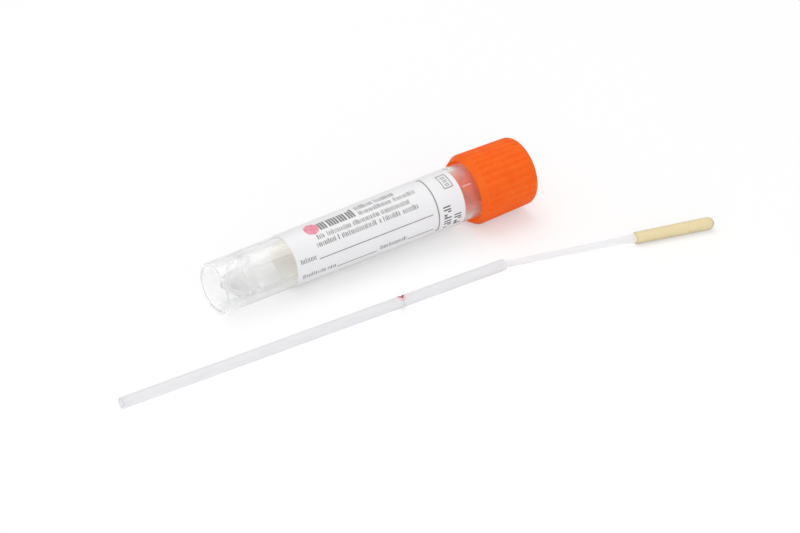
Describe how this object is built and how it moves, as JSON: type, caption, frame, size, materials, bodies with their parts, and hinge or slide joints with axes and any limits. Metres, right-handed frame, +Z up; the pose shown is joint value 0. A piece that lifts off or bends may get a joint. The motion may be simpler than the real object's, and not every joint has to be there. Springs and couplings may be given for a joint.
{
  "type": "specimen swab tube",
  "caption": "Clear self-standing specimen transport tube with ribbed screw cap, wrapped label and liquid medium, lying beside its flocked collection swab with a break-off handle.",
  "frame": {"origin": "centre of the whole set's footprint, on the surface it lies on", "axes": "+Z up; +X in plan along the tube from its skirt to its cap; the swab lies on the -Y side"},
  "size_m": [0.15, 0.0446, 0.0172],
  "materials": {
    "tube": "clear polypropylene, slightly hazy",
    "transport_medium": "clear liquid",
    "label": "satin white film",
    "ruled_lines": "printed",
    "text_bars": "printed",
    "round_mark": "printed",
    "date_code": "printed",
    "screw_cap": "satin moulded",
    "cap_seal": "soft white",
    "swab_stick": "translucent natural",
    "break_mark": "ink",
    "flocked_tip": "flocked nylon"
  },
  "bodies": {
    "tube": {"tube": "tube", "transport_medium": "transport_medium", "label": "label", "ruled_lines": "ruled_lines", "text_bars": "text_bars", "round_mark": "round_mark", "date_code": "date_code", "swab_stick": "swab_stick", "break_mark": "break_mark", "flocked_tip": "flocked_tip"},
    "seal": {"cap_seal": "cap_seal"},
    "cap": {"screw_cap": "screw_cap"}
  },
  "joints": [
    {"name": "cap_rise", "type": "slide", "parent": "tube", "child": "seal", "axis": [0.9993, 0, 0.0363], "range_m": [0, 0.018]},
    {"name": "cap_turn", "type": "hinge", "parent": "seal", "child": "cap", "pos_m": [0.03597, 0.01377, 0.00874], "axis": [0.9993, 0, 0.0363], "range_deg": [0, 2160]}
  ],
  "couplings": [
    {"joint": "cap_turn", "follows": "cap_rise", "rad_per_m": 2094.4}
  ]
}
